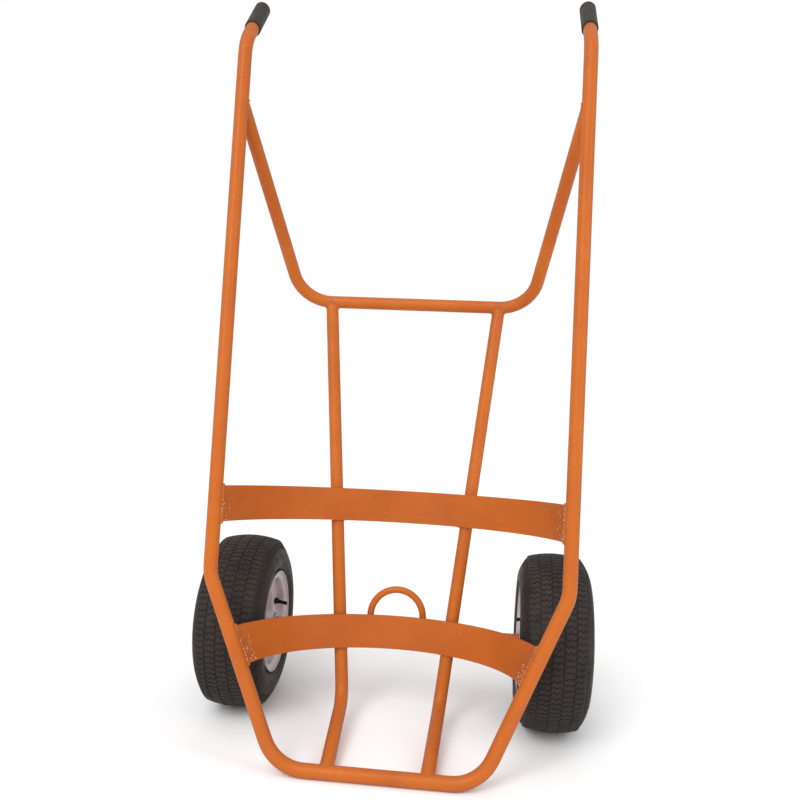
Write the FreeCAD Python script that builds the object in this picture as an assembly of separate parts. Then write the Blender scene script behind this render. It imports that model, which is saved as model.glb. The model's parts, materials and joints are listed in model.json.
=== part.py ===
import FreeCAD, Part
import math
import os

from FreeCAD import Vector

# Root ball cart: a tall two-wheeled hand cart with two curved cradle plates.
# Millimetres. The cart is drawn with its long side rails upright: x is across, z is up
# along the rails from the nose bar's axis, and y is to the back. The load lies against
# the front, at -y. At the end every piece is leaned back about the nose bar until the
# tyres and the nose bar stand on one floor, z = 0.

# steel tube, plate and rod
tube_od = 30.0
tube_wall = 2.0
rod_d = 15.9
plate_width = 76.0
plate_thickness = 5.0
weld_gap = 0.3            # tubes lie this far off the plates and the axle that they are welded to

# side rails, nose bar and handles: one bent tube
rail_spacing = 744.0      # between the side rails' axes
nose_spread = 420.0       # between the nose bar's corners
taper_height = 384.0      # where the rails start to run in towards the nose bar
handle_height = 1537.5    # where the rails bend back into the handles
handle_tail = 176.0       # from that bend to the grip's rounded end
handle_angle = 39.5       # how far the handles lean back from the rails, degrees
corner_bend_r = 90.0
handle_bend_r = 90.0

# handle brace: one tube that drops behind the rails and crosses over
brace_drop = 134.5        # from the handle bends down to where its ends meet the rails
crossbar_drop = 374.0     # from there down to the crossbar
crossbar_spread = 566.0   # between its two corners

# inner rails
inner_spread_top = 416.0  # at the crossbar
inner_spread_toe = 225.4  # at the toe bend
inner_spread_nose = 207.0 # at the nose bar
toe_height = 85.5
toe_bend_r = 65.0

# cradle plates: height of the middle, and depth behind the side rails' plane
upper_height = 531.0
upper_depth = 285.0
lower_height = 240.0
lower_depth = 251.6
plate_front = 12.0        # how far in front of the side rails' axes the plates' ends lie

# axle and tie-down loop
axle_d = 19.05
axle_height = 243.4
axle_chamfer = 1.5
loop_width = 123.8        # between the loop's two legs, on centre
loop_rise = 92.7          # from the axle's axis to the top of the loop, on centre

# grips
grip_length = 110.0
grip_wall = 3.0
grip_end = 4.0            # rubber past the tube's end

# wheels
tyre_d = 400.0
tyre_width = 158.0
track_inset = 10.0        # of each wheel's middle plane from its side rail's axis
tread_edge = 59.0         # half the width of the nearly flat tread
tread_drop = 8.5          # how much lower the tread's edge is than its middle
shoulder_half = 75.5      # half the width at the shoulder's foot
shoulder_drop = 35.0      # how much lower the shoulder's foot is than the tread's middle
tyre_side = 9.0           # rubber at the sidewall, the shoulder and the tread's middle
tyre_shoulder = 28.0
tyre_crown = 14.0
flange_d = 231.0          # mid-metal sizes of the rolled rim
flange_half = 75.0
seat_d = 203.0
seat_half = 68.5
seat_rise = 1.0
hump_half = 50.0
well_d = 160.0
well_half = 43.5
lip_gap = 2.0             # of rubber above the rim's flange
bead_gap = 3.0            # of the tyre's toe from the rim's hump
bead_round = 5.0
rim_bends = [4.0, 5.0, 5.0, 6.0]   # at the flange, heel, hump and well, mid-metal
rim_sheet = 2.8
disc_sheet = 4.0
disc_offset = -14.0       # of the disc's hub end, towards the outside
disc_step = 10.0          # from there to its outer part
disc_lip = 16.0           # of disc turned along the inside of the well
disc_bends = [9.0, 9.0, 7.0]
hub_d = 45.0
hub_length = 138.0
hub_wall = 7.0

# bearings, one in each end of a hub
bearing_d = 35.0
bearing_width = 11.0
bearing_flange_d = 40.0
bearing_flange = 1.6
race_fit = 0.03           # inner race on the axle, radial
race_gap = 1.45           # from the ball circle to each race's plain face
race_end = 0.6            # of inner race past the flange
ball_d = 4.8
ball_count = 10
ball_gap = 0.3
seal_width = 1.0
seal_gap = 0.3

# washers and split pins on the axle
washer_d = 38.0
washer_width = 2.5
washer_play = 0.4         # on the axle, radial
washer_chamfer = 0.4
pin_d = 3.4
pin_hole_d = 4.2
pin_leg = 11.0            # of the splayed legs
pin_splay = 50.0          # of each leg from straight, degrees
pin_foot = 1.5            # of straight pin under the axle
pin_head = 1.0            # and above it
pin_step = 3.2            # from a washer's face to the pin's axis
axle_end = 8.5            # of axle past the outer pin's axis
end_play = 0.1

# tyre valve
valve_angle = 21.0        # above level, at the back of the wheel, degrees
valve_length = 26.0
valve_hole_d = 11.6
cap_length = 8.5
valve_foot = 4.0          # of rubber inside the rim
valve_foot_d = 16.4
valve_base_d = 15.2
valve_base = 6.0          # height of the thick base
valve_neck = 12.0         # height where the base has run down to the stem
valve_stem_d = 8.8
valve_tip_d = 8.0
cap_d = 8.6
cap_round = 1.2

tube_r = tube_od / 2
axle_r = axle_d / 2
tyre_r = tyre_d / 2
half_rails = rail_spacing / 2
half_nose = nose_spread / 2
half_track = half_rails - track_inset
brace_height = handle_height - brace_drop
crossbar_height = brace_height - crossbar_drop


def between(a, b, share):
    return a + (b - a) * share


def corner_arc(before, corner, after, radius):
    # the arc that rounds a corner, as its two ends and its middle
    inward = (before - corner).normalize()
    outward = (after - corner).normalize()
    half_turn = (math.pi - inward.getAngle(outward)) / 2
    reach = radius * math.tan(half_turn)
    middle_way = (inward + outward).normalize()
    centre = corner + middle_way * (radius / math.cos(half_turn))
    return corner + inward * reach, centre - middle_way * radius, corner + outward * reach


def bent_wire(points, radii):
    # straight runs between the points, with each inner corner rounded
    here = points[0]
    edges = []
    for i in range(1, len(points) - 1):
        start, end = points[i], points[i]
        if radii[i] > 0:
            start, middle, end = corner_arc(points[i - 1], points[i], points[i + 1], radii[i])
        edges.append(Part.LineSegment(here, start).toShape())
        if radii[i] > 0:
            edges.append(Part.Arc(start, middle, end).toShape())
        here = end
    edges.append(Part.LineSegment(here, points[-1]).toShape())
    return Part.Wire(edges)


def swept(points, radii, outer_r, inner_r=0.0):
    # a round bar or tube along a bent line
    start = points[0]
    along = points[1] - points[0]
    section = Part.Face(Part.Wire(Part.makeCircle(outer_r, start, along)))
    if inner_r > 0:
        section = section.cut(Part.Face(Part.Wire(Part.makeCircle(inner_r, start, along)))).Faces[0]
    return bent_wire(points, radii).makePipe(section)


def mirrored(shape):
    return shape.mirror(Vector(0, 0, 0), Vector(1, 0, 0))


def flipped(point):
    return Vector(-point.x, point.y, point.z)


def largest(shape):
    return max(shape.Solids, key=lambda solid: solid.Volume)


def turned(wire, axis=Vector(1, 0, 0)):
    # a solid of revolution about a line through the origin
    solid = Part.Face(wire).revolve(Vector(0, 0, 0), axis, 360)
    return solid if isinstance(solid, Part.Solid) else Part.Solid(Part.Shell(solid.Faces))


def ring(x0, x1, inner_r, outer_r):
    solid = Part.makeCylinder(outer_r, x1 - x0, Vector(x0, 0, 0), Vector(1, 0, 0))
    return solid.cut(Part.makeCylinder(inner_r, x1 - x0, Vector(x0, 0, 0), Vector(1, 0, 0)))


def offset_line(points, distance):
    # a line of straight runs in the xz plane, moved sideways with mitred corners
    moved = []
    for i, point in enumerate(points):
        runs = [(points[j + 1] - points[j]).normalize() for j in (i - 1, i) if 0 <= j < len(points) - 1]
        sides = [Vector(-run.z, 0, run.x) for run in runs]
        across = Vector(0, 0, 0)
        for side in sides:
            across = across + side
        across.normalize()
        moved.append(point + across * (distance / across.dot(sides[0])))
    return moved


def sheet_profile(points, radii, thickness):
    # the closed outline of bent sheet metal, from its middle line
    half = thickness / 2
    outlines = []
    for side in (1, -1):
        side_radii = [0.0] * len(points)
        for i in range(1, len(points) - 1):
            first = points[i] - points[i - 1]
            second = points[i + 1] - points[i]
            left_turn = first.x * second.z - first.z * second.x > 0
            side_radii[i] = radii[i] - side * half if left_turn else radii[i] + side * half
        outlines.append(bent_wire(offset_line(points, side * half), side_radii))
    ends = []
    for i in (0, -1):
        ends.append(Part.LineSegment(offset_line(points, half)[i], offset_line(points, -half)[i]).toShape())
    return Part.Wire(Part.__sortEdges__(outlines[0].Edges + outlines[1].Edges + ends))


# --- main frame tube: handles, side rails and nose bar ---

tail = Vector(0, math.sin(math.radians(handle_angle)), math.cos(math.radians(handle_angle)))


def handle_point(side, distance):
    return Vector(side * half_rails, 0, handle_height) + tail * distance


def side_leg_x(height):
    # how far out the side tube's axis is at a height
    return between(half_nose, half_rails, min(height / taper_height, 1.0))


def main_frame_line():
    tube_tail = handle_tail - grip_end
    half = [handle_point(1, tube_tail), handle_point(1, 0), Vector(half_rails, 0, taper_height),
            Vector(half_nose, 0, 0)]
    other = [flipped(point) for point in reversed(half)]
    radii = [0, handle_bend_r, corner_bend_r, corner_bend_r]
    return half + other, radii + radii[::-1]


main_points, main_radii = main_frame_line()
main_frame_tube = swept(main_points, main_radii, tube_r, tube_r - tube_wall)
main_frame_core = swept(main_points, main_radii, tube_r)


# --- cradle plates: flat bar rolled to follow the side rails, cut to them at both ends ---

def plate_roll(height, depth):
    # roll radius and centre of a plate's middle line at one height, from rail to rail
    half_chord = side_leg_x(height) - math.sqrt(tube_r ** 2 - plate_front ** 2)
    rise = depth + plate_front
    roll_r = (half_chord ** 2 + rise ** 2) / (2 * rise)
    return roll_r, depth - roll_r


def roll_wire(height, depth, offset):
    roll_r, centre_y = plate_roll(height, depth)
    return Part.Wire([Part.makeCircle(roll_r + offset, Vector(0, centre_y, height))])


def cradle_plate(height, depth):
    low = height - plate_width / 2
    high = height + plate_width / 2
    half_t = plate_thickness / 2
    outside = Part.makeLoft([roll_wire(low, depth, half_t), roll_wire(high, depth, half_t)], True, True)
    inside = Part.makeLoft([roll_wire(low, depth, -half_t), roll_wire(high, depth, -half_t)], True, True)
    reach = 2 * rail_spacing
    kept = Part.makeBox(2 * reach, reach, plate_width, Vector(-reach, -plate_front, low))
    return largest(outside.cut(inside).common(kept).cut(main_frame_core))


cradle_plate_upper = cradle_plate(upper_height, upper_depth)
cradle_plate_lower = cradle_plate(lower_height, lower_depth)


# --- inner rails: they lie against the back of both plates' lower edges ---

def inner_rail_x(height):
    share = (height - toe_height) / (crossbar_height - toe_height)
    return between(inner_spread_toe, inner_spread_top, share) / 2


def inner_rail_touch(height, depth):
    # how far back the rail's axis is where it meets a plate's lower edge
    edge = height - plate_width / 2
    roll_r, centre_y = plate_roll(edge, depth)
    reach = roll_r + plate_thickness / 2 + tube_r + weld_gap
    return edge, centre_y + math.sqrt(reach ** 2 - inner_rail_x(edge) ** 2)


upper_edge, upper_back = inner_rail_touch(upper_height, upper_depth)
lower_edge, lower_back = inner_rail_touch(lower_height, lower_depth)
rail_slope = (upper_back - lower_back) / (upper_edge - lower_edge)


def inner_rail_y(height):
    return lower_back + rail_slope * (height - lower_edge)


# --- handle brace: sloping sides and crossbar ---

half_cross = crossbar_spread / 2
crossbar_y = inner_rail_y(crossbar_height)
brace_points = [Vector(half_rails, 0, brace_height), Vector(half_cross, crossbar_y, crossbar_height),
                Vector(-half_cross, crossbar_y, crossbar_height), Vector(-half_rails, 0, brace_height)]
brace_radii = [0, corner_bend_r, corner_bend_r, 0]
handle_brace_tube = largest(swept(brace_points, brace_radii, tube_r, tube_r - tube_wall).cut(main_frame_core))
handle_brace_core = swept(brace_points, brace_radii, tube_r)


def inner_rail():
    points = [Vector(inner_spread_top / 2, crossbar_y, crossbar_height),
              Vector(inner_spread_toe / 2, inner_rail_y(toe_height), toe_height),
              Vector(inner_spread_nose / 2, 0, 0)]
    rail = swept(points, [0, toe_bend_r, 0], tube_r, tube_r - tube_wall)
    return largest(rail.cut(handle_brace_core).cut(main_frame_core))


inner_rail_right = inner_rail()

# --- axle: a plain bar across the back of the inner rails ---

axle_y = inner_rail_y(axle_height) + tube_r * math.hypot(1, rail_slope) + weld_gap + axle_r
race_face = hub_length / 2 + bearing_flange + race_end
washer_start = race_face + end_play
pin_place = washer_start + washer_width + pin_step
axle_half = half_track + pin_place + axle_end
axle = Part.makeCylinder(axle_r, 2 * axle_half, Vector(-axle_half, axle_y, axle_height), Vector(1, 0, 0))
axle_rims = [edge for edge in axle.Edges if edge.Curve.TypeId == "Part::GeomCircle"]
axle = axle.makeChamfer(axle_chamfer, axle_rims)


def pin_hole(x):
    start = Vector(x, axle_y, axle_height - axle_d)
    return Part.makeCylinder(pin_hole_d / 2, 2 * axle_d, start, Vector(0, 0, 1))


for side in (1, -1):
    for end in (1, -1):
        axle = axle.cut(pin_hole(side * (half_track + end * pin_place)))
axle = largest(axle)


# --- tie-down loop: a bent rod that stands on the axle ---

def tie_down_loop():
    leg = loop_width / 2
    straight = loop_rise - leg
    foot_left = Vector(-leg, axle_y, axle_height)
    shoulder_left = Vector(-leg, axle_y, axle_height + straight)
    top = Vector(0, axle_y, axle_height + loop_rise)
    shoulder_right = Vector(leg, axle_y, axle_height + straight)
    foot_right = Vector(leg, axle_y, axle_height)
    path = Part.Wire([Part.LineSegment(foot_left, shoulder_left).toShape(),
                      Part.Arc(shoulder_left, top, shoulder_right).toShape(),
                      Part.LineSegment(shoulder_right, foot_right).toShape()])
    section = Part.Face(Part.Wire(Part.makeCircle(rod_d / 2, foot_left, Vector(0, 0, 1))))
    seat = Part.makeCylinder(axle_r, 2 * axle_half, Vector(-axle_half, axle_y, axle_height), Vector(1, 0, 0))
    return largest(path.makePipe(section).cut(seat))


# --- grips: soft closed sleeves on the handles ---

def grip(side):
    outer_r = tube_r + grip_wall
    body = Part.makeCylinder(outer_r, grip_length)
    far_edges = [edge for edge in body.Edges
                 if edge.Curve.TypeId == "Part::GeomCircle" and edge.BoundBox.ZMin > grip_length / 2]
    body = body.makeFillet(grip_wall + grip_end, far_edges)
    body = body.cut(Part.makeCylinder(tube_r, grip_length - grip_end))
    body.Placement = FreeCAD.Placement(handle_point(side, handle_tail - grip_length),
                                       FreeCAD.Rotation(Vector(0, 0, 1), tail))
    return body


# --- wheel pieces, about the origin: x is the wheel's axis, +x the inboard side ---

def seat_height(x):
    # the bead seat's outside: it rises by seat_rise from the hump to the flange
    slope = seat_rise / (seat_half - hump_half)
    middle = seat_d / 2 - seat_rise + slope * (x - hump_half)
    return middle + rim_sheet / 2 * math.hypot(1, slope)


def arc_onwards(start, way, end):
    # an arc that leaves start in direction way and stops at end
    chord = end - start
    along = Vector(chord).normalize()
    aside = (way - along * way.dot(along)).normalize()
    swing = way.getAngle(chord)
    middle = between(start, end, 0.5) + aside * (chord.Length / 2 * math.tan(swing / 2))
    return Part.Arc(start, middle, end).toShape()


def tyre_outline():
    # bead, sidewall, shoulder and tread outside, then the same back inside
    heel = seat_half - rim_sheet / 2
    toe = hump_half + bead_gap
    lip_r = flange_d / 2 + rim_sheet / 2 + lip_gap
    shoulder_r = tyre_r - shoulder_drop
    widest_r = between(lip_r, shoulder_r, 0.5)
    lip = Vector(heel, 0, lip_r)
    widest = Vector(tyre_width / 2, 0, widest_r)
    shoulder = Vector(shoulder_half, 0, shoulder_r)
    edge = Vector(tread_edge, 0, tyre_r - tread_drop)
    sidewall = Part.Arc(lip, widest, shoulder).toShape()
    shoulder_way = sidewall.tangentAt(sidewall.LastParameter)
    bead_toe = Vector(toe, 0, seat_height(toe))
    heel_in = Vector(heel - bead_round, 0, seat_height(heel - bead_round))
    heel_up = Vector(heel, 0, heel_in.z + bead_round)
    quarter = bead_round * (1 - math.sqrt(0.5))
    heel_middle = Vector(heel - quarter, 0, heel_in.z + quarter)
    inside_lip = Vector(heel - tyre_side, 0, lip_r)
    inside_widest = Vector(tyre_width / 2 - tyre_side, 0, widest_r)
    inside_shoulder = Vector(tread_edge, 0, tyre_r - tread_drop - tyre_shoulder)
    half = [
        Part.LineSegment(bead_toe, heel_in).toShape(),
        Part.Arc(heel_in, heel_middle, heel_up).toShape(),
        Part.LineSegment(heel_up, lip).toShape(),
        sidewall,
        arc_onwards(shoulder, shoulder_way, edge),
        Part.LineSegment(bead_toe, inside_lip).toShape(),
        Part.Arc(inside_lip, inside_widest, inside_shoulder).toShape()]
    tread = Part.Arc(edge, Vector(0, 0, tyre_r), flipped(edge)).toShape()
    inside_top = Vector(0, 0, tyre_r - tyre_crown)
    inside_tread = Part.Arc(inside_shoulder, inside_top, flipped(inside_shoulder)).toShape()
    other_half = [mirrored(piece) for piece in half]
    return Part.Wire(Part.__sortEdges__(half + other_half + [tread, inside_tread]))


def tyre():
    return turned(tyre_outline())


valve_middle = Vector((hump_half + well_half) / 2, 0, (seat_d + well_d) / 4)
valve_slope = Vector(hump_half - well_half, 0, (seat_d - well_d) / 2).normalize()
valve_out = Vector(valve_slope.z, 0, -valve_slope.x)


def at_valve(solid):
    # from along +z at the origin to the valve's hole, then round to the back of the wheel
    solid.Placement = FreeCAD.Placement(valve_middle, FreeCAD.Rotation(Vector(0, 0, 1), valve_out))
    solid.rotate(Vector(0, 0, 0), Vector(1, 0, 0), -(90.0 - valve_angle))
    return solid


def rim():
    flange_r = flange_d / 2
    half = [Vector(flange_half, 0, flange_r),
            Vector(seat_half, 0, flange_r),
            Vector(seat_half, 0, seat_d / 2),
            Vector(hump_half, 0, seat_d / 2 - seat_rise), Vector(well_half, 0, well_d / 2)]
    other = [flipped(point) for point in reversed(half)]
    radii = [0] + rim_bends
    barrel = turned(sheet_profile(half + other, radii + radii[::-1], rim_sheet))
    hole = at_valve(Part.makeCylinder(valve_hole_d / 2, valve_neck * 2, Vector(0, 0, -valve_neck)))
    return largest(barrel.cut(hole))


def wheel_disc():
    well_in = well_d / 2 - rim_sheet / 2 - disc_sheet / 2
    hub_r = hub_d / 2
    outer_x = disc_offset + disc_step
    points = [Vector(disc_offset, 0, hub_r), Vector(disc_offset, 0, between(hub_r, well_in, 0.35)),
              Vector(outer_x, 0, between(hub_r, well_in, 0.62)), Vector(outer_x, 0, well_in),
              Vector(outer_x + disc_lip, 0, well_in)]
    return turned(sheet_profile(points, [0] + disc_bends + [0], disc_sheet))


def hub():
    shell = ring(-hub_length / 2, hub_length / 2, hub_d / 2 - hub_wall, hub_d / 2)
    for x0 in (-hub_length / 2, hub_length / 2 - bearing_width):
        shell = shell.cut(Part.makeCylinder(bearing_d / 2, bearing_width, Vector(x0, 0, 0), Vector(1, 0, 0)))
    return shell


pitch_r = (axle_r + bearing_d / 2) / 2


def bearing(piece):
    # one piece of the inboard bearing
    outer_face = hub_length / 2
    inner_face = outer_face - bearing_width
    ball_x = (outer_face + inner_face) / 2
    groove = Part.makeTorus(pitch_r, ball_d / 2 + ball_gap, Vector(ball_x, 0, 0), Vector(1, 0, 0))
    if piece == "outer_race":
        body = ring(inner_face, outer_face, pitch_r + race_gap, bearing_d / 2)
        flange = ring(outer_face, outer_face + bearing_flange, pitch_r + race_gap, bearing_flange_d / 2)
        return body.fuse(flange).removeSplitter().cut(groove)
    if piece == "inner_race":
        return ring(inner_face, race_face, axle_r + race_fit, pitch_r - race_gap).cut(groove)
    if piece == "seal":
        start = outer_face + bearing_flange - seal_width
        return ring(start, start + seal_width, pitch_r - race_gap + seal_gap, pitch_r + race_gap)
    balls = []
    for i in range(ball_count):
        angle = 2 * math.pi * i / ball_count
        place = Vector(ball_x, pitch_r * math.cos(angle), pitch_r * math.sin(angle))
        balls.append(Part.makeSphere(ball_d / 2, place))
    return Part.Compound(balls)


def valve_stem():
    # moulded rubber: a foot inside the rim, a neck in the hole, a thick base and the stem
    half = rim_sheet / 2
    hole_r = valve_hole_d / 2
    outline = [(0, -half - valve_foot), (valve_foot_d / 2, -half - valve_foot), (valve_foot_d / 2, -half),
               (hole_r, -half), (hole_r, half), (valve_base_d / 2, half), (valve_base_d / 2, valve_base),
               (valve_stem_d / 2, valve_neck), (valve_tip_d / 2, valve_length), (0, valve_length)]
    points = [Vector(r, 0, z) for r, z in outline]
    return at_valve(turned(Part.makePolygon(points + points[:1]), Vector(0, 0, 1)))


def valve_cap():
    cap = Part.makeCylinder(cap_d / 2, cap_length, Vector(0, 0, valve_length))
    top = [edge for edge in cap.Edges if edge.BoundBox.ZMin > valve_length + cap_length / 2]
    return at_valve(cap.makeFillet(cap_round, top))


# --- washer and split pin, about the axle at the wheel's middle plane ---

def washer():
    body = ring(washer_start, washer_start + washer_width, axle_r + washer_play, washer_d / 2)
    rims = [edge for edge in body.Edges if edge.BoundBox.ZLength > washer_d - 1]
    return body.makeChamfer(washer_chamfer, rims)


def split_pin():
    # an eye above the axle, a shank through it and two splayed legs below
    eye_r = 1.3 * pin_d
    wire_r = 0.4 * pin_d
    foot = Vector(pin_place, 0, -axle_r - pin_foot)
    head = Vector(pin_place, 0, axle_r + pin_head)
    pin = Part.makeCylinder(pin_d / 2, head.z - foot.z, foot, Vector(0, 0, 1))
    pin = pin.fuse(Part.makeTorus(eye_r, wire_r, head + Vector(0, 0, eye_r), Vector(1, 0, 0)))
    splay = math.radians(pin_splay)
    for way in (1, -1):
        reach = Vector(0, way * math.sin(splay), -math.cos(splay))
        pin = pin.fuse(Part.makeCylinder(wire_r, pin_leg, foot, reach))
    return largest(pin.fuse(Part.makeSphere(pin_d / 2, foot)).removeSplitter())


# --- put the pieces in place, lean the cart back and write them ---

frame_pieces = {
    "main_frame_tube": main_frame_tube,
    "handle_brace_tube": handle_brace_tube,
    "inner_rail_right": inner_rail_right,
    "inner_rail_left": mirrored(inner_rail_right),
    "cradle_plate_upper": cradle_plate_upper,
    "cradle_plate_lower": cradle_plate_lower,
    "axle": axle,
    "tie_down_loop": tie_down_loop(),
    "grip_right": grip(1),
    "grip_left": grip(-1),
}


def left_wheel_pieces():
    # the left wheel's pieces about its own middle: +x is inboard
    pieces = {"tyre": tyre(), "rim": rim(), "wheel_disc": wheel_disc(), "hub": hub(),
              "valve_stem": valve_stem(), "valve_cap": valve_cap()}
    for piece in ("outer_race", "inner_race", "balls", "seal"):
        pieces["bearing_" + piece + "_inboard"] = bearing(piece)
        pieces["bearing_" + piece + "_outboard"] = mirrored(bearing(piece))
    pieces["washer_inboard"] = washer()
    pieces["washer_outboard"] = mirrored(washer())
    pieces["split_pin_inboard"] = split_pin()
    pieces["split_pin_outboard"] = mirrored(split_pin())
    return pieces


pieces = dict(frame_pieces)
for name, shape in left_wheel_pieces().items():
    shape.translate(Vector(-half_track, axle_y, axle_height))
    pieces[name + "_left"] = shape
    pieces[name + "_right"] = mirrored(shape)

# the lean that puts the tyres and the nose bar on one floor
axle_reach = math.hypot(axle_height, axle_y)
lean = math.degrees(math.acos((tyre_r - tube_r) / axle_reach) - math.atan2(axle_y, axle_height))
turn = FreeCAD.Rotation(Vector(1, 0, 0), -lean)
axle_place = turn.multVec(Vector(0, axle_y, axle_height))
rearmost = max(axle_place.y + tyre_r,
               turn.multVec(handle_point(1, handle_tail)).y + tube_r + grip_wall,
               turn.multVec(Vector(0, crossbar_y, crossbar_height)).y + tube_r)
middle_y = (rearmost - tube_r) / 2

os.makedirs("parts", exist_ok=True)
for name, shape in pieces.items():
    shape.rotate(Vector(0, 0, 0), Vector(1, 0, 0), -lean)
    shape.translate(Vector(0, -middle_y, tube_r))
    shape.exportStep("parts/" + name + ".step")
print("lean", round(lean, 3), "degrees")
print("axle at", round(axle_place.y - middle_y, 3), round(axle_place.z + tube_r, 3))
print(len(pieces), "pieces")
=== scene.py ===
import bpy
import bmesh
import json
import math
import random
from mathutils import Matrix, Vector
from mathutils.bvhtree import BVHTree


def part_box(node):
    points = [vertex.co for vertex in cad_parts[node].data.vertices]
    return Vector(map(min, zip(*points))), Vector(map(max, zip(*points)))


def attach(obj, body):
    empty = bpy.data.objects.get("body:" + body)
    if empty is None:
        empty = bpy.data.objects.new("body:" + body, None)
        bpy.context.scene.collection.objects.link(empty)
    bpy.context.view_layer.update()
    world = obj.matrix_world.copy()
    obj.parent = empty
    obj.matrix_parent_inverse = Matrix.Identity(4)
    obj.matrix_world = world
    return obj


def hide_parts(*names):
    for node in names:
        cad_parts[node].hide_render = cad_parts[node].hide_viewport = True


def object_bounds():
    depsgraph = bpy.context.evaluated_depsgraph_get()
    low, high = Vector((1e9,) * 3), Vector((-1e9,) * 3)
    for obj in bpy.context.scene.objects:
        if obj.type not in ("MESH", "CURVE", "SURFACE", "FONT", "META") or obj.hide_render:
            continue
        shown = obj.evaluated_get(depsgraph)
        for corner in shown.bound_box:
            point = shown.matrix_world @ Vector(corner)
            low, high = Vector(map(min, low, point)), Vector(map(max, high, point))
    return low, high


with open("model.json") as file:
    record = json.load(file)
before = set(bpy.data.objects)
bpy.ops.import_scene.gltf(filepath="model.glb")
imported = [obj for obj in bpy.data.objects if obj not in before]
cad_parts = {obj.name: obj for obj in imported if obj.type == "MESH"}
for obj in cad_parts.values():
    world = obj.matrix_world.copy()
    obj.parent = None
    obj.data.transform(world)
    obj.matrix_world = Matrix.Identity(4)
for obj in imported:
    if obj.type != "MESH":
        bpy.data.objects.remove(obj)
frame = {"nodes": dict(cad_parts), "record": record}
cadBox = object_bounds()
nodes = frame["nodes"]
random.seed(7)
sides = ("left", "right")
print("frame loaded:", len(nodes), "nodes")


def meshObject(name, bm, material, smooth=True):
    mesh = bpy.data.meshes.new(name)
    bm.to_mesh(mesh)
    bm.free()
    for face in mesh.polygons:
        face.use_smooth = smooth
    obj = bpy.data.objects.new(name, mesh)
    bpy.context.scene.collection.objects.link(obj)
    mesh.materials.append(material)
    return obj


# camera at the cart's load side, a little right of its middle and at 0.6 of its height
camera = {
    "place": (0.1852, -1.8392, 0.9854),
    "turn": (82.416, -1.890, 6.070),   # degrees
    "lens": 37.88,
    "shiftY": 0.0077,
    "clipEnd": 200,
}
studio = {
    "floorSize": 80.0, "floorColour": 0.93, "floorRoughness": 0.9, "floorSpecular": 0.1,
    "skyColour": (1.0, 1.0, 1.0, 1), "skySeen": 1.0, "skyLight": 0.86,
    "sunTurn": (38, 12, -34), "sunStrength": 0.95, "sunSoftness": 34,   # degrees
}
lamps = {
    "frontLamp": {"place": (-1.3, -2.6, 2.4), "aim": (0, 0, 0.8), "size": (1.2, 1.8), "watts": 26},
    "sideLamp": {"place": (2.4, -1.2, 1.8), "aim": (0, 0, 0.7), "size": (0.8, 1.8), "watts": 14},
}


def makeCamera():
    data = bpy.data.cameras.new("camera")
    data.lens = camera["lens"]
    data.shift_y = camera["shiftY"]
    data.clip_end = camera["clipEnd"]
    obj = bpy.data.objects.new("camera", data)
    obj.location = camera["place"]
    obj.rotation_euler = [math.radians(angle) for angle in camera["turn"]]
    bpy.context.scene.collection.objects.link(obj)
    bpy.context.scene.camera = obj


# node helpers: put adds a node, link joins two sockets
def put(tree, kind, values=None, **settings):
    node = tree.nodes.new(kind)
    for key, value in settings.items():
        setattr(node, key, value)
    for key, value in (values or {}).items():
        node.inputs[key].default_value = value
    return node


def link(tree, start, end):
    tree.links.new(start, end)


def makeSky():
    # white all round: as bright as the floor where it is seen, a little dimmer as a light
    world = bpy.data.worlds.new("studio")
    bpy.context.scene.world = world
    world.use_nodes = True
    tree = world.node_tree
    tree.nodes.clear()
    colour = studio["skyColour"]
    seen = put(tree, "ShaderNodeBackground", {"Color": colour, "Strength": studio["skySeen"]})
    light = put(tree, "ShaderNodeBackground", {"Color": colour, "Strength": studio["skyLight"]})
    mix = put(tree, "ShaderNodeMixShader")
    link(tree, put(tree, "ShaderNodeLightPath").outputs["Is Camera Ray"], mix.inputs["Fac"])
    link(tree, light.outputs["Background"], mix.inputs[1])
    link(tree, seen.outputs["Background"], mix.inputs[2])
    link(tree, mix.outputs["Shader"], put(tree, "ShaderNodeOutputWorld").inputs["Surface"])


def makeSun():
    data = bpy.data.lights.new("softSun", "SUN")
    data.energy = studio["sunStrength"]
    data.angle = math.radians(studio["sunSoftness"])
    obj = bpy.data.objects.new("softSun", data)
    obj.rotation_euler = [math.radians(angle) for angle in studio["sunTurn"]]
    bpy.context.scene.collection.objects.link(obj)


def makeLamp(name, lamp):
    data = bpy.data.lights.new(name, "AREA")
    data.shape = "RECTANGLE"
    data.size, data.size_y = lamp["size"]
    data.energy = lamp["watts"]
    obj = bpy.data.objects.new(name, data)
    obj.location = lamp["place"]
    way = Vector(lamp["aim"]) - Vector(lamp["place"])
    obj.rotation_euler = way.to_track_quat("-Z", "Y").to_euler()
    bpy.context.scene.collection.objects.link(obj)


def makeFloor():
    bm = bmesh.new()
    bmesh.ops.create_grid(bm, x_segments=1, y_segments=1, size=studio["floorSize"] / 2)
    mat = bpy.data.materials.new("floorPale")
    mat.use_nodes = True
    shader = mat.node_tree.nodes["Principled BSDF"]
    tone = studio["floorColour"]
    shader.inputs["Base Color"].default_value = (tone, tone, tone, 1)
    shader.inputs["Roughness"].default_value = studio["floorRoughness"]
    shader.inputs["Specular IOR Level"].default_value = studio["floorSpecular"]
    meshObject("floor", bm, mat)


makeCamera()
makeSky()
makeSun()
for name, lamp in lamps.items():
    makeLamp(name, lamp)
makeFloor()
bpy.context.scene.view_settings.view_transform = "Standard"
print("studio ready")


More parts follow.
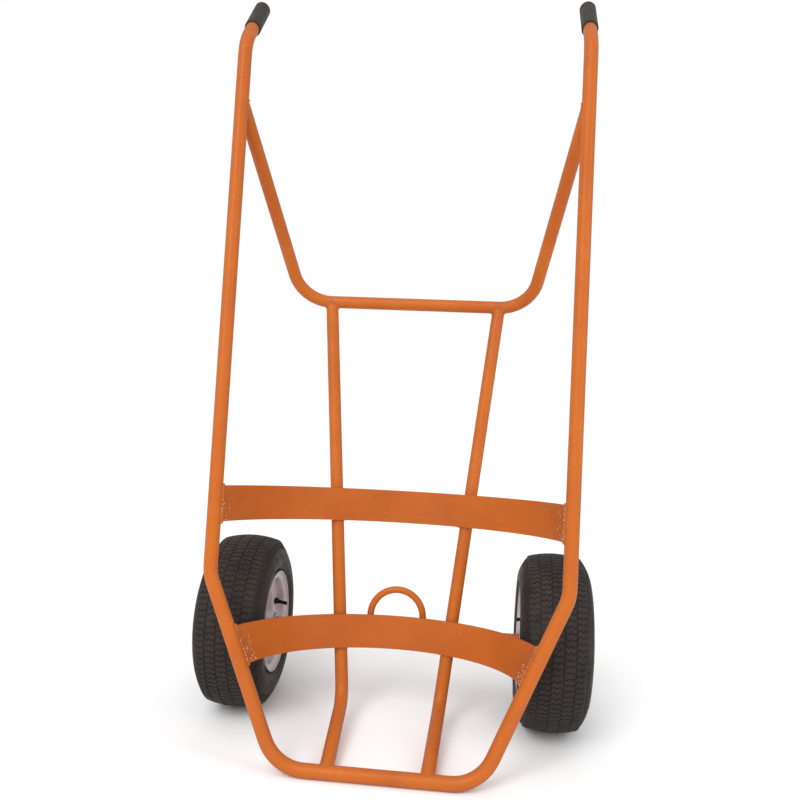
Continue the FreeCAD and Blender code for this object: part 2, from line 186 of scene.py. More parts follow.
def newGroup(name, inputs, output, kind="Float"):
    # a node group with named inputs, numbers or colours, and one named output
    tree = bpy.data.node_groups.new(name, "ShaderNodeTree")
    for key, value in inputs.items():
        sort = "NodeSocketColor" if isinstance(value, tuple) else "NodeSocketFloat"
        tree.interface.new_socket(key, in_out="INPUT", socket_type=sort).default_value = value
    tree.interface.new_socket(output, in_out="OUTPUT", socket_type="NodeSocket" + kind)
    return tree, tree.nodes.new("NodeGroupInput"), tree.nodes.new("NodeGroupOutput")


def objectNoise(tree, size, detail, roughness):
    # noise on the object's own coordinates, in bumps per metre
    noise = put(tree, "ShaderNodeTexNoise", {"Scale": size, "Detail": detail, "Roughness": roughness})
    link(tree, put(tree, "ShaderNodeTexCoord").outputs["Object"], noise.inputs["Vector"])
    return noise


def ramp(tree, source, low, high, outLow=0.0, outHigh=1.0):
    values = {"From Min": low, "From Max": high, "To Min": outLow, "To Max": outHigh}
    node = put(tree, "ShaderNodeMapRange", values)
    link(tree, source, node.inputs["Value"])
    return node.outputs["Result"]


def maths(tree, operation, first, second):
    node = put(tree, "ShaderNodeMath", operation=operation)
    for socket, value in zip(node.inputs, (first, second)):
        if isinstance(value, (int, float)):
            socket.default_value = value
        else:
            link(tree, value, socket)
    return node.outputs["Value"]


def blendColour(tree, mask, first, second):
    node = put(tree, "ShaderNodeMix", data_type="RGBA")
    for socket, value in ((node.inputs[0], mask), (node.inputs[6], first), (node.inputs[7], second)):
        if isinstance(value, (tuple, int, float)):
            socket.default_value = value
        else:
            link(tree, value, socket)
    return node.outputs[2]


def makeToneGroup():
    # slow change of shade over a coat of paint or rubber
    inputs = {"Colour": (0.5, 0.5, 0.5, 1), "Deep colour": (0.3, 0.3, 0.3, 1), "Size": 9.0, "Amount": 0.5}
    tree, given, result = newGroup("toneDrift", inputs, "Colour", "Color")
    noise = objectNoise(tree, 9.0, 4.0, 0.6)
    link(tree, given.outputs["Size"], noise.inputs["Scale"])
    mask = maths(tree, "MULTIPLY", ramp(tree, noise.outputs["Fac"], 0.36, 0.66), given.outputs["Amount"])
    colour = blendColour(tree, mask, given.outputs["Colour"], given.outputs["Deep colour"])
    link(tree, colour, result.inputs["Colour"])
    return tree


def makeDustGroup():
    # settled dust: most on faces that look up, broken up by noise
    tree, given, result = newGroup("settledDust", {"Amount": 0.4, "Size": 40.0}, "Mask")
    facing = put(tree, "ShaderNodeNewGeometry")
    split = put(tree, "ShaderNodeSeparateXYZ")
    link(tree, facing.outputs["Normal"], split.inputs["Vector"])
    upward = ramp(tree, split.outputs["Z"], -0.3, 1.0)
    noise = objectNoise(tree, 40.0, 5.0, 0.65)
    link(tree, given.outputs["Size"], noise.inputs["Scale"])
    patch = ramp(tree, noise.outputs["Fac"], 0.42, 0.72)
    mask = maths(tree, "MULTIPLY", maths(tree, "MULTIPLY", upward, patch), given.outputs["Amount"])
    link(tree, mask, result.inputs["Mask"])
    return tree


def makeWearGroup():
    # paint thinned along sharp edges
    tree, given, result = newGroup("edgeWear", {"Width": 0.001, "Amount": 0.6}, "Mask")
    rounded = put(tree, "ShaderNodeBevel", samples=4)
    link(tree, given.outputs["Width"], rounded.inputs["Radius"])
    facing = put(tree, "ShaderNodeNewGeometry")
    dot = put(tree, "ShaderNodeVectorMath", operation="DOT_PRODUCT")
    link(tree, rounded.outputs["Normal"], dot.inputs[0])
    link(tree, facing.outputs["True Normal"], dot.inputs[1])
    edge = ramp(tree, dot.outputs["Value"], 0.97, 0.82)
    chips = ramp(tree, objectNoise(tree, 130.0, 4.0, 0.7).outputs["Fac"], 0.50, 0.62)
    mask = maths(tree, "MULTIPLY", maths(tree, "MULTIPLY", edge, chips), given.outputs["Amount"])
    link(tree, mask, result.inputs["Mask"])
    return tree


def makeSpeckGroup():
    # small round nibs and specks, as dust caught in wet paint; on the weld beads the same mask lays
    # painted glints
    tree, given, result = newGroup("specks", {"Size": 260.0, "Share": 0.12}, "Mask")
    place = put(tree, "ShaderNodeTexCoord")
    cells = put(tree, "ShaderNodeTexVoronoi")
    link(tree, place.outputs["Object"], cells.inputs["Vector"])
    link(tree, given.outputs["Size"], cells.inputs["Scale"])
    dots = ramp(tree, cells.outputs["Distance"], 0.26, 0.14)
    chosen = put(tree, "ShaderNodeSeparateColor")
    link(tree, cells.outputs["Color"], chosen.inputs["Color"])
    keep = put(tree, "ShaderNodeMath", operation="LESS_THAN")
    link(tree, chosen.outputs["Red"], keep.inputs[0])
    link(tree, given.outputs["Share"], keep.inputs[1])
    link(tree, maths(tree, "MULTIPLY", dots, keep.outputs["Value"]), result.inputs["Mask"])
    return tree


def makeGrainGroup():
    # fine surface height: a wavy part and a grainy part
    inputs = {"Wave size": 90.0, "Grain size": 700.0, "Grain share": 0.3}
    tree, given, result = newGroup("surfaceGrain", inputs, "Height")
    wave = objectNoise(tree, 90.0, 2.0, 0.5)
    grain = objectNoise(tree, 700.0, 3.0, 0.6)
    link(tree, given.outputs["Wave size"], wave.inputs["Scale"])
    link(tree, given.outputs["Grain size"], grain.inputs["Scale"])
    mixed = put(tree, "ShaderNodeMix", data_type="FLOAT")
    link(tree, given.outputs["Grain share"], mixed.inputs[0])
    link(tree, wave.outputs["Fac"], mixed.inputs[2])
    link(tree, grain.outputs["Fac"], mixed.inputs[3])
    link(tree, mixed.outputs[0], result.inputs["Height"])
    return tree


effects = {"tone": makeToneGroup(), "dust": makeDustGroup(), "wear": makeWearGroup(),
           "specks": makeSpeckGroup(), "grain": makeGrainGroup()}


def effect(tree, name, values):
    # the one output of a shared effect, with its inputs set
    node = put(tree, "ShaderNodeGroup", node_tree=effects[name])
    for key, value in values.items():
        node.inputs[key].default_value = value
    return node.outputs[0]


def sheen(tree, look, detail, roughness, low, high):
    # patches of smoother and duller surface
    smooth, dull = look["gloss"]
    noise = objectNoise(tree, look["sheenSize"], detail, roughness)
    return ramp(tree, noise.outputs["Fac"], low, high, smooth, dull)


def toned(tree, look):
    return effect(tree, "tone", {"Colour": look["colour"], "Deep colour": look["deep"],
                                 "Size": look["toneSize"], "Amount": look["toneAmount"]})


def grained(tree, look):
    return effect(tree, "grain", {"Wave size": look["waveSize"], "Grain size": look["grainSize"],
                                  "Grain share": look["grainShare"]})


def newMaterial(name):
    mat = bpy.data.materials.new(name)
    mat.use_nodes = True
    return mat, mat.node_tree, mat.node_tree.nodes["Principled BSDF"]


def addBump(tree, shader, height, look):
    bump = put(tree, "ShaderNodeBump", {"Strength": look["bump"], "Distance": look["bumpDepth"]})
    if "arris" in look:
        rounded = put(tree, "ShaderNodeBevel", {"Radius": look["arris"]}, samples=4)
        link(tree, rounded.outputs["Normal"], bump.inputs["Normal"])
    link(tree, height, bump.inputs["Height"])
    link(tree, bump.outputs["Normal"], shader.inputs["Normal"])


# sprayed enamel on steel; sizes are in bumps per metre
enamelCoat = {
    "toneSize": 7.0, "toneAmount": 0.8, "dustSize": 55.0, "dustDulls": 0.4, "sheenSize": 22.0,
    "wearWidth": 0.0009, "wearAmount": 0.55, "speckSize": 240.0, "speckShare": 0.05, "speckRise": 0.8,
    # painted shade: where the colour starts and stops darkening as the surface turns away from the camera,
    # and how far
    "edgeShadeStart": 0.45, "edgeShadeEnd": 0.95, "edgeShadeAmount": 0.85,
    "waveSize": 150.0, "grainSize": 900.0, "grainShare": 0.25, "bumpDepth": 0.0006, "arris": 0.0008,
}
orangeEnamel = dict(
    enamelCoat, colour=(0.505, 0.120, 0.0095, 1), deep=(0.43, 0.092, 0.009, 1), dust=(0.50, 0.30, 0.16, 1),
    # edge is the painted shade colour laid where the surface turns away from the camera
    worn=(0.26, 0.075, 0.03, 1), speck=(0.74, 0.30, 0.10, 1), edge=(0.26, 0.055, 0.012, 1),
    gloss=(0.32, 0.50), dustAmount=0.10, bump=0.22, specular=0.22)
# the plates: the same orange paint as the frame, coloured darker as painted shade because they curve away
# from the light
plateShadedEnamel = dict(
    orangeEnamel, colour=(0.465, 0.108, 0.0105, 1), deep=(0.40, 0.086, 0.010, 1), gloss=(0.38, 0.56))
# weld beads: glossier enamel; its near-white speck colour, on about a third of the surface, is painted
# glints
beadEnamelGlints = dict(
    orangeEnamel, gloss=(0.16, 0.30), speck=(0.95, 0.66, 0.42, 1), speckShare=0.30, bump=0.4, specular=0.6)
# spatter and nibs: a near-white colour that is painted glints, not the colour of the paint
spatterPaintedGlint = dict(
    beadEnamelGlints, colour=(0.98, 0.74, 0.56, 1), deep=(0.92, 0.56, 0.36, 1), edge=(0.60, 0.25, 0.10, 1))
rimEnamel = dict(
    enamelCoat, colour=(0.66, 0.595, 0.61, 1), deep=(0.57, 0.51, 0.53, 1), dust=(0.40, 0.36, 0.33, 1),
    # edge is the painted shade colour laid where the rim turns away from the camera
    worn=(0.30, 0.27, 0.25, 1), speck=(0.40, 0.37, 0.36, 1), edge=(0.40, 0.36, 0.37, 1),
    gloss=(0.36, 0.5), dustAmount=0.18, wearAmount=0.4, speckShare=0.04, bump=0.16,
    specular=0.35, arris=0.0006)


def enamel(name, look):
    mat, tree, shader = newMaterial(name)
    dust = effect(tree, "dust", {"Amount": look["dustAmount"], "Size": look["dustSize"]})
    wear = effect(tree, "wear", {"Width": look["wearWidth"], "Amount": look["wearAmount"]})
    specks = effect(tree, "specks", {"Size": look["speckSize"], "Share": look["speckShare"]})
    colour = blendColour(tree, specks, toned(tree, look), look["speck"])
    colour = blendColour(tree, dust, colour, look["dust"])
    colour = blendColour(tree, wear, colour, look["worn"])
    # painted shade: the colour is blended towards the edge colour where the surface turns away from the
    # camera, so tubes show dark rims
    facing = put(tree, "ShaderNodeLayerWeight", {"Blend": 0.5}).outputs["Facing"]
    paintedEdgeShade = ramp(tree, facing, look["edgeShadeStart"], look["edgeShadeEnd"], 0.0, look["edgeShadeAmount"])
    link(tree, blendColour(tree, paintedEdgeShade, colour, look["edge"]), shader.inputs["Base Color"])
    dulled = maths(tree, "MULTIPLY", dust, look["dustDulls"])
    gloss = maths(tree, "ADD", sheen(tree, look, 4.0, 0.6, 0.35, 0.68), dulled)
    link(tree, gloss, shader.inputs["Roughness"])
    height = maths(tree, "ADD", grained(tree, look), maths(tree, "MULTIPLY", specks, look["speckRise"]))
    addBump(tree, shader, height, look)
    shader.inputs["Specular IOR Level"].default_value = look["specular"]
    return mat


# tyre and soft parts
treadRubber = {
    "colour": (0.030, 0.0235, 0.0195, 1), "deep": (0.021, 0.0165, 0.014, 1),
    "dust": (0.085, 0.068, 0.052, 1), "gloss": (0.58, 0.80), "sheenSize": 45.0, "specular": 0.20,
    "toneSize": 16.0, "toneAmount": 0.9, "dustAmount": 0.36, "dustSize": 70.0, "dustDulls": 0.3,
    "waveSize": 130.0, "grainSize": 1100.0, "grainShare": 0.5, "bump": 0.35, "bumpDepth": 0.0005,
}
carcassRubber = dict(
    treadRubber, colour=(0.025, 0.0195, 0.0175, 1), deep=(0.018, 0.0145, 0.013, 1),
    gloss=(0.50, 0.70), dustAmount=0.30)
gripVinyl = dict(
    treadRubber, colour=(0.031, 0.023, 0.0195, 1), deep=(0.023, 0.0175, 0.015, 1),
    dust=(0.075, 0.058, 0.047, 1), gloss=(0.46, 0.62), dustAmount=0.26,
    waveSize=160.0, grainSize=1500.0, bump=0.30)
valveRubber = dict(
    gripVinyl, colour=(0.011, 0.009, 0.010, 1), deep=(0.008, 0.007, 0.008, 1),
    gloss=(0.34, 0.5), dustAmount=0.12)
sealRubber = dict(valveRubber, gloss=(0.5, 0.7))


def rubber(name, look):
    mat, tree, shader = newMaterial(name)
    dust = effect(tree, "dust", {"Amount": look["dustAmount"], "Size": look["dustSize"]})
    link(tree, blendColour(tree, dust, toned(tree, look), look["dust"]), shader.inputs["Base Color"])
    dulled = maths(tree, "MULTIPLY", dust, look["dustDulls"])
    gloss = maths(tree, "ADD", sheen(tree, look, 4.0, 0.6, 0.35, 0.68), dulled)
    link(tree, gloss, shader.inputs["Roughness"])
    addBump(tree, shader, grained(tree, look), look)
    shader.inputs["Specular IOR Level"].default_value = look["specular"]
    return mat


# bare metal of the fixings and bearings
zincSteel = {
    "colour": (0.56, 0.55, 0.53, 1), "deep": (0.42, 0.42, 0.41, 1), "tarnish": (0.30, 0.25, 0.20, 1),
    "toneSize": 60.0, "toneAmount": 0.9, "stainSize": 150.0, "stainAmount": 0.6,
    "gloss": (0.28, 0.5), "sheenSize": 300.0,
    "waveSize": 300.0, "grainSize": 2200.0, "grainShare": 0.5, "bump": 0.15, "bumpDepth": 0.0003,
}
bearingSteel = dict(
    zincSteel, colour=(0.66, 0.66, 0.67, 1), deep=(0.52, 0.52, 0.54, 1), tarnish=(0.40, 0.36, 0.32, 1),
    gloss=(0.12, 0.26), bump=0.05)


def bareMetal(name, look):
    mat, tree, shader = newMaterial(name)
    noise = objectNoise(tree, look["stainSize"], 5.0, 0.7)
    stains = ramp(tree, noise.outputs["Fac"], 0.56, 0.70, 0.0, look["stainAmount"])
    link(tree, blendColour(tree, stains, toned(tree, look), look["tarnish"]), shader.inputs["Base Color"])
    link(tree, sheen(tree, look, 3.0, 0.6, 0.3, 0.7), shader.inputs["Roughness"])
    addBump(tree, shader, grained(tree, look), look)
    shader.inputs["Metallic"].default_value = 1.0
    return mat


finishes = {
    "frame_paint": enamel("orangeEnamel", orangeEnamel),
    "plate_paint": enamel("plateShadedEnamel", plateShadedEnamel),
    "rim_paint": enamel("rimEnamel", rimEnamel),
    "tyre_rubber": rubber("carcassRubber", carcassRubber),
    "grip_vinyl": rubber("gripVinyl", gripVinyl),
    "valve_rubber": rubber("valveRubber", valveRubber),
    "seal_rubber": rubber("sealRubber", sealRubber),
    "zinc_steel": bareMetal("zincSteel", zincSteel),
    "bearing_steel": bareMetal("bearingSteel", bearingSteel),
}
blockRubber = rubber("blockRubber", treadRubber)
beadGlintFinish = enamel("beadEnamelGlints", beadEnamelGlints)
spatterGlintFinish = enamel("spatterPaintedGlint", spatterPaintedGlint)
for part in frame["record"]["subparts"]:
    mesh = nodes[part["node"]].data
    mesh.materials.clear()
    mesh.materials.append(finishes[part["material_slot"]])
print("finishes ready")


# merged copies of the frame's meshes, for measuring
def mergedCopy(node):
    bm = bmesh.new()
    bm.from_mesh(nodes[node].data)
    bmesh.ops.remove_doubles(bm, verts=bm.verts, dist=0.00001)
    return bm


def surfaceOf(node):
    bm = mergedCopy(node)
    tree = BVHTree.FromBMesh(bm)
    bm.free()
    return tree


surfaces = {name: surfaceOf(name) for name in nodes if not name.startswith("bearing_balls")}

# tyre: smooth carcass, wavy turf blocks, shoulder ribs and moulding hairs
tyre = {
    "steps": 180,
    "rays": 360, "raysFrom": -17, "raysSweep": 214,    # round the section, degrees
    "heart": 0.70,             # where the rays meet, as a share of the radius
    "skinStep": 0.00125,       # along the section
    "wall": 0.007, "wallStep": 6, "heelDepth": 0.014,
    "rows": 92, "columns": 5,
    "columnPitch": 0.0256, "columnGap": 0.0012,
    "blockLength": 0.0117, "blockTaper": 0.93,
    "wave": 0.0024, "waves": 2, "segments": 8,
    "depth": 0.0020,
    "treadEdge": 0.0650,       # along the skin from the tread's middle
    "ribStart": 0.0680, "ribEnd": 0.0850, "ribWidth": 0.0042, "ribDepth": 0.0013,
    "ribShort": 0.35, "ribFade": 0.003, "ringFade": 0.0008, "blockRoot": 0.0006,
    "rings": ((0.1020, 0.0010, 0.0006), (0.1200, 0.0016, 0.0008), (0.1330, 0.0012, 0.0009)),
    "hairs": 9, "hairPlace": 0.0960, "hairLength": 0.0045, "hairRoot": 0.001, "hairDrift": 0.2,
    "hairRadius": 0.00035, "hairTip": 0.00021,
}


def tyreSkin(node):
    # the outside of the tyre's section, bead to bead, as even steps of (across, outward)
    low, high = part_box(node)
    middle = (low + high) / 2
    radius = (high.z - low.z) / 2
    heart = middle + Vector((0, 0, tyre["heart"] * radius))
    found = []
    for i in range(tyre["rays"] + 1):
        angle = math.radians(tyre["raysFrom"] + tyre["raysSweep"] * i / tyre["rays"])
        way = Vector((math.cos(angle), 0, math.sin(angle)))
        hit = surfaces[node].ray_cast(heart + way * radius, -way)[0]
        found.append(Vector((hit.x - middle.x, hit.z - middle.z)))
    lengths = [0.0]
    for a, b in zip(found, found[1:]):
        lengths.append(lengths[-1] + (b - a).length)
    whole = lengths[-1]
    count = int(whole / tyre["skinStep"] / 2) * 2
    even = []
    j = 0
    for i in range(count + 1):
        want = whole * i / count
        while j < len(lengths) - 2 and lengths[j + 1] < want:
            j += 1
        share = (want - lengths[j]) / (lengths[j + 1] - lengths[j])
        even.append(found[j].lerp(found[j + 1], share))
    return even, whole


def skinPoint(skin, whole, along, height):
    # a point of the section: along from the tread's middle, height above the skin
    count = len(skin) - 1
    where = min(max((0.5 - along / whole) * count, 0.0), count - 0.0001)
    i = int(where)
    point = skin[i].lerp(skin[i + 1], where - i)
    run = (skin[min(i + 2, count)] - skin[max(i - 1, 0)]).normalized()
    return point + Vector((run.y, -run.x)) * height


def skinHeight(along):
    # how far the carcass lies off the skin: sunk under the tread, ringed on the sidewalls
    far = abs(along)
    if far < tyre["treadEdge"]:
        return -tyre["depth"]
    if far < tyre["ribEnd"]:
        return -tyre["ribDepth"]
    height = -tyre["ribDepth"] * max(0.0, 1 - (far - tyre["ribEnd"]) / tyre["ribFade"])
    for place, half, rise in tyre["rings"]:
        height += rise * max(0.0, 1 - max(0.0, abs(far - place) - half) / tyre["ringFade"])
    return height


def closedLoop(bm, points):
    first = bmesh.ops.create_vert(bm, co=points[0])["vert"][0]
    last = first
    for point in points[1:]:
        last = bmesh.ops.extrude_vert_indiv(bm, verts=[last])["verts"][0]
        last.co = point
    bm.edges.new((last, first))


def makeCarcass(skin, whole):
    bm = bmesh.new()
    count = len(skin) - 1
    outside = []
    for i in range(count + 1):
        along = (0.5 - i / count) * whole
        outside.append(skinPoint(skin, whole, along, skinHeight(along)))
    inside = []
    for i in range(tyre["wallStep"], count - tyre["wallStep"] + 1, tyre["wallStep"]):
        along = (i / count - 0.5) * whole
        inside.append(skinPoint(skin, whole, along, -tyre["wall"]))
    heel = skin[0] - Vector((0, tyre["heelDepth"]))
    loop = outside + [Vector((-heel.x, heel.y))] + inside + [heel]
    closedLoop(bm, [Vector((p.x, 0, p.y)) for p in loop])
    bmesh.ops.spin(bm, geom=bm.verts[:] + bm.edges[:], cent=(0, 0, 0), axis=(1, 0, 0),
                   angle=2 * math.pi, steps=tyre["steps"], use_merge=True)
    bmesh.ops.remove_doubles(bm, verts=bm.verts, dist=0.00001)
    bmesh.ops.recalc_face_normals(bm, faces=bm.faces)
    return bm


def addBar(bm, segments, across, length, shape, place):
    # one raised bar, drawn flat as a strip, then shaped and laid on the tyre
    grid = bmesh.ops.create_grid(bm, x_segments=segments, y_segments=1, size=0.5)["verts"]
    faces = list(dict.fromkeys(face for vert in grid for face in vert.link_faces))
    top = bmesh.ops.extrude_face_region(bm, geom=faces)["geom"]
    raised = {item for item in top if isinstance(item, bmesh.types.BMVert)}
    bmesh.ops.delete(bm, geom=faces, context="FACES_ONLY")
    for vert in set(grid) | raised:
        up = 1.0 if vert in raised else 0.0
        small = tyre["blockTaper"] if up else 1.0
        u, v = vert.co.x * across * small, vert.co.y * length * small
        vert.co = place(u, v + shape(vert.co.x), up)


def makeTread(skin, whole, radius):
    bm = bmesh.new()
    pitch = 2 * math.pi / tyre["rows"]

    def lay(middle, turn, depth):
        def place(u, v, up):
            point = skinPoint(skin, whole, middle + u, (up - 1.0) * (depth + tyre["blockRoot"]))
            angle = turn + v / radius
            return Vector((point.x, point.y * math.sin(angle), point.y * math.cos(angle)))
        return place

    width = tyre["columnPitch"] - tyre["columnGap"]
    for column in range(tyre["columns"]):
        middle = (column - (tyre["columns"] - 1) / 2) * tyre["columnPitch"]
        turn = pitch * (0.5 if column % 2 else 0.0)
        way = 1 if column % 2 else -1

        def wavy(share):
            return way * tyre["wave"] * math.cos(2 * math.pi * tyre["waves"] * (share + 0.5))

        addBar(bm, tyre["segments"], width, tyre["blockLength"], wavy, lay(middle, turn, tyre["depth"]))
    ribLength = tyre["ribEnd"] - tyre["ribStart"]
    for side in (1, -1):
        middle = side * (tyre["ribStart"] + tyre["ribEnd"]) / 2
        for half in (0.0, 0.5):
            addBar(bm, 2, ribLength * (1.0 - tyre["ribShort"] * half), tyre["ribWidth"], lambda share: 0.0,
                   lay(middle, pitch * half, tyre["ribDepth"]))
    copies = tyre["rows"] - 1
    bmesh.ops.spin(bm, geom=bm.verts[:] + bm.edges[:] + bm.faces[:], cent=(0, 0, 0), axis=(1, 0, 0),
                   angle=pitch * copies, steps=copies, use_duplicate=True)
    bmesh.ops.recalc_face_normals(bm, faces=bm.faces)
    return bm


def makeHairs(skin, whole):
    # thin nibs left by the mould's vents, on both shoulders
    bm = bmesh.new()
    for side in (1, -1):
        for i in range(tyre["hairs"]):
            drift = random.uniform(-tyre["hairDrift"], tyre["hairDrift"])
            turn = 2 * math.pi * (i + drift) / tyre["hairs"]
            foot = skinPoint(skin, whole, side * tyre["hairPlace"], -tyre["hairRoot"])
            tip = skinPoint(skin, whole, side * tyre["hairPlace"], 1.0) - foot
            way = Vector((tip.x, 0, tip.y)).normalized()
            rise = Vector((foot.x, 0, foot.y)) + way * tyre["hairLength"] / 2
            lean = way.to_track_quat("Z", "Y").to_matrix().to_4x4()
            stand = Matrix.Rotation(turn, 4, "X") @ Matrix.Translation(rise) @ lean
            bmesh.ops.create_cone(bm, cap_ends=True, segments=6, radius1=tyre["hairRadius"],
                                  radius2=tyre["hairTip"], depth=tyre["hairLength"], matrix=stand)
    return bm


def makeTyre(side):
    node = "tyre_" + side
    low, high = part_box(node)
    middle = (low + high) / 2
    skin, whole = tyreSkin(node)
    made = {"tyreCarcass": (makeCarcass(skin, whole), finishes["tyre_rubber"], True),
            "tyreTread": (makeTread(skin, whole, (high.z - low.z) / 2), blockRubber, False),
            "tyreHairs": (makeHairs(skin, whole), finishes["tyre_rubber"], True)}
    for name, (bm, material, smooth) in made.items():
        if side == "right":
            bmesh.ops.scale(bm, vec=(-1, 1, 1), verts=bm.verts)
            bmesh.ops.reverse_faces(bm, faces=bm.faces)
        bmesh.ops.translate(bm, vec=middle, verts=bm.verts)
        piece = meshObject(name + "_" + side, bm, material, smooth)
        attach(piece, "wheel_" + side)
        if name == "tyreCarcass":
            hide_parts(node)


for side in sides:
    makeTyre(side)
print("tyres ready")


# weld beads: overlapping flat drops along each seam
weld = {
    "pitch": 0.0021, "radius": 0.0030, "thick": 0.0016, "touch": 0.0005,
    "margin": 0.0039,          # kept from the cart's bounding box
    "wobble": 0.0003, "radiusSpread": (0.88, 1.10), "thickSpread": (0.9, 1.2),
    "step": 0.001, "axleHalf": 9, "axleUp": 0.80, "axleBack": 0.60, "axleSize": 1.1, "axleReach": 0.04,
    "sweep": 80, "climb": 60, "edgeUp": 0.0005, "behind": 0.2, "reach": 0.5,
    "nearGap": 0.0012, "farGap": 0.0065, "lift": (0, 0.0012, 0.0008), "plateSize": 1.15,
}


def seamEdges(piece, other):
    # edges of the piece where a face that lies on the other part meets one that doesn't
    bm = mergedCopy(piece)
    tree = surfaces[other]

    def lies(face):
        spots = [vert.co for vert in face.verts] + [face.calc_center_median()]
        return all(tree.find_nearest(spot)[3] < weld["touch"] for spot in spots)

    on = {face: lies(face) for face in bm.faces}
    edges = [edge for edge in bm.edges
             if len(edge.link_faces) == 2 and on[edge.link_faces[0]] != on[edge.link_faces[1]]]
    runs = []
    left = dict.fromkeys(edges)     # in the mesh's own order, so a seam always starts at the same edge
    while left:
        edge = next(iter(left))
        del left[edge]
        run = [edge.verts[0], edge.verts[1]]
        for end in (1, 0):
            while True:
                tip = run[-1] if end else run[0]
                more = [e for e in tip.link_edges if e in left]
                if not more:
                    break
                del left[more[0]]
                nextVert = more[0].other_vert(tip)
                if end:
                    run.append(nextVert)
                else:
                    run.insert(0, nextVert)
        runs.append([vert.co.copy() for vert in run])
    bm.free()
    return runs


def runLength(run):
    return sum((b - a).length for a, b in zip(run, run[1:]))


def evenSpots(run, pitch):
    # (place, direction) at even steps along a run
    spots = []
    want = 0.0
    gone = 0.0
    for a, b in zip(run, run[1:]):
        length = (b - a).length
        while length > 0 and want <= gone + length:
            spots.append((a.lerp(b, (want - gone) / length), (b - a).normalized()))
            want += pitch
        gone += length
    return spots


def insideBox(place, margin):
    low, high = cadBox
    return all(low[i] + margin < place[i] < high[i] - margin for i in range(3))


def addBead(bm, run, size):
    for place, way in evenSpots(run, weld["pitch"]):
        if not insideBox(place, weld["margin"]):
            continue
        wobble = Vector([random.uniform(-weld["wobble"], weld["wobble"]) for _ in range(3)])
        radius = weld["radius"] * size * random.uniform(*weld["radiusSpread"])
        turn = way.to_track_quat("Z", "Y").to_matrix().to_4x4()
        flat = Matrix.Diagonal((radius, radius, weld["thick"] * random.uniform(*weld["thickSpread"]), 1))
        bmesh.ops.create_uvsphere(bm, u_segments=8, v_segments=5, radius=1.0,
                                  matrix=Matrix.Translation(place + wobble) @ turn @ flat)


def finishWeld(name, bm, body="frame"):
    slot = "frame_paint" if body == "frame" else "rim_paint"
    piece = meshObject(name, bm, beadGlintFinish if slot == "frame_paint" else finishes[slot])
    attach(piece, body)


def weldSeams(name, piece, others, size, loops, body="frame"):
    # the longest seams run between a piece and the parts it is welded to
    bm = bmesh.new()
    for other in others:
        runs = sorted(seamEdges(piece, other), key=runLength, reverse=True)
        for run in runs[:loops]:
            addBead(bm, run, size)
    print(name, len(bm.faces), "faces")
    finishWeld(name, bm, body)


weldSeams("weldsUpperPlate", "cradle_plate_upper", ["main_frame_tube"], 1.6, 2)
weldSeams("weldsLowerPlate", "cradle_plate_lower", ["main_frame_tube"], 1.9, 2)
weldSeams("weldsBraceEnds", "handle_brace_tube", ["main_frame_tube"], 0.9, 2)
weldSeams("weldsLoopFeet", "tie_down_loop", ["axle"], 0.8, 2)
for side in sides:
    rail, disc, wheel = "inner_rail_" + side, "wheel_disc_" + side, "wheel_" + side
    weldSeams("weldsRailEnds_" + side, rail, ["handle_brace_tube", "main_frame_tube"], 0.9, 1)
    weldSeams("weldsDisc_" + side, disc, ["hub_" + side], 0.9, 2, wheel)
    weldSeams("weldsRim_" + side, disc, ["rim_" + side], 0.8, 2, wheel)


def railBack(rail, x, y, z):
    # the back of an inner rail, straight in front of a point behind it
    return surfaces[rail].ray_cast(Vector((x, y, z)), Vector((0, -1, 0)), weld["axleReach"])[0]


def weldAxle(side):
    # short beads above and below where the axle lies on an inner rail
    low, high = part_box("axle")
    middle = (low + high) / 2
    radius = (high.z - low.z) / 2
    rail = "inner_rail_" + side
    railLow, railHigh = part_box(rail)
    steps = int((railHigh.x - railLow.x) / weld["step"]) + 1
    hits = [railBack(rail, railLow.x + i * weld["step"], middle.y, middle.z) for i in range(steps)]
    centre = max((hit for hit in hits if hit), key=lambda spot: spot.y)
    bm = bmesh.new()
    for way in (1, -1):
        run = []
        z = middle.z + way * radius * weld["axleUp"]
        for i in range(-weld["axleHalf"], weld["axleHalf"] + 1):
            x = centre.x + i * weld["step"]
            hit = railBack(rail, x, middle.y, z)
            if hit:
                axleY = middle.y - radius * weld["axleBack"]
                run.append(Vector((x, (hit.y + axleY) / 2, z)))
        addBead(bm, run, weld["axleSize"])
    finishWeld("weldsAxle_" + side, bm)


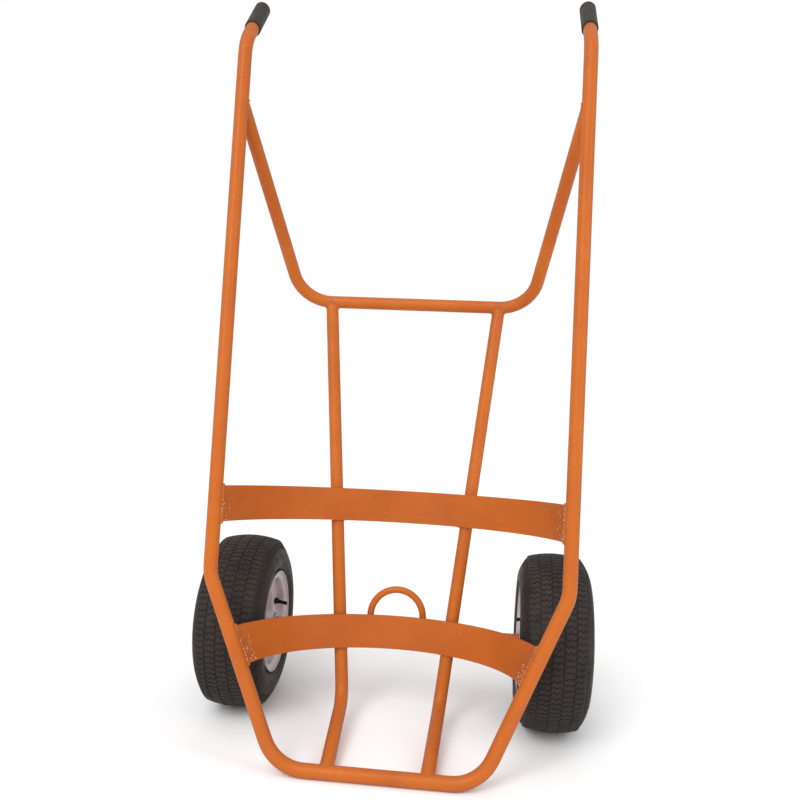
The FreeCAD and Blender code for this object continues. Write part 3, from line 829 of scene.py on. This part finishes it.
def weldPlateRail(side, plate):
    # beads beside an inner rail, along the lower back edge of a plate, found by stepping across and up
    rail = "inner_rail_" + side
    railLow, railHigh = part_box(rail)
    plateLow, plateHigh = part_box(plate)
    middleX = (railLow.x + railHigh.x) / 2
    spots = []
    for i in range(-weld["sweep"], weld["sweep"] + 1):
        x = middleX + i * weld["step"]
        for j in range(weld["climb"]):
            z = plateLow.z + weld["edgeUp"] + j * weld["step"]
            start = Vector((x, plateHigh.y + weld["behind"], z))
            back = surfaces[plate].ray_cast(start, Vector((0, -1, 0)), weld["reach"])[0]
            if back:
                spots.append((surfaces[rail].find_nearest(back)[3], back))
                break
    nearest = min(spots, key=lambda pair: pair[0])[1]
    bm = bmesh.new()
    for way in (1, -1):
        run = [spot for gap, spot in spots
               if weld["nearGap"] < gap < weld["farGap"] and (spot.x - nearest.x) * way > 0]
        run.sort(key=lambda spot: spot.x * way)
        if len(run) > 2:
            addBead(bm, [spot + Vector(weld["lift"]) for spot in run], weld["plateSize"])
    finishWeld("weldsRailAt_" + plate.split("_")[-1] + "_" + side, bm)


for side in sides:
    weldAxle(side)
    for plate in ("cradle_plate_upper", "cradle_plate_lower"):
        weldPlateRail(side, plate)
print("welds ready")

# bright nibs on the plates' end beads, and weld spatter scattered over the plates beside them, all
# coloured near white as painted glints
spatter = {
    "amounts": {"cradle_plate_upper": 0.3, "cradle_plate_lower": 1.0},
    "count": 30, "radius": (0.0006, 0.0013), "reach": (0.004, 0.034), "slant": 0.6, "drop": 0.01,
    "nibStep": 0.0024, "nibLift": 0.0038, "nibAside": 0.004, "nibDrift": 0.002,
}


def addNib(bm, spot):
    radius = random.uniform(*spatter["radius"])
    if insideBox(spot, radius):
        bmesh.ops.create_icosphere(bm, subdivisions=1, radius=radius, matrix=Matrix.Translation(spot))


def makeSpatter():
    bm = bmesh.new()
    for plate, amount in spatter["amounts"].items():
        surface = surfaces[plate]
        ends = sorted(seamEdges(plate, "main_frame_tube"), key=runLength, reverse=True)[:2]
        for run in ends:
            middleY = sum(spot.y for spot in run) / len(run)
            step = spatter["nibStep"] / amount
            front = [place for place, way in evenSpots(run, step) if place.y < middleY]
            for place in front:
                inward = -1 if place.x > 0 else 1
                aside = inward * random.uniform(0.0, spatter["nibAside"])
                drift = random.uniform(-spatter["nibDrift"], spatter["nibDrift"])
                addNib(bm, place + Vector((aside, -spatter["nibLift"], drift)))
            for _ in range(int(spatter["count"] * amount)):
                place = random.choice(front)
                inward = -1 if place.x > 0 else 1
                shift = random.uniform(*spatter["reach"])
                drop = random.uniform(-spatter["drop"], spatter["drop"])
                spot = place + Vector((inward * shift * spatter["slant"], shift, drop))
                addNib(bm, surface.find_nearest(spot)[0])
    piece = meshObject("weldSpatterGlints", bm, spatterGlintFinish)
    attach(piece, "frame")


makeSpatter()
print("spatter ready")
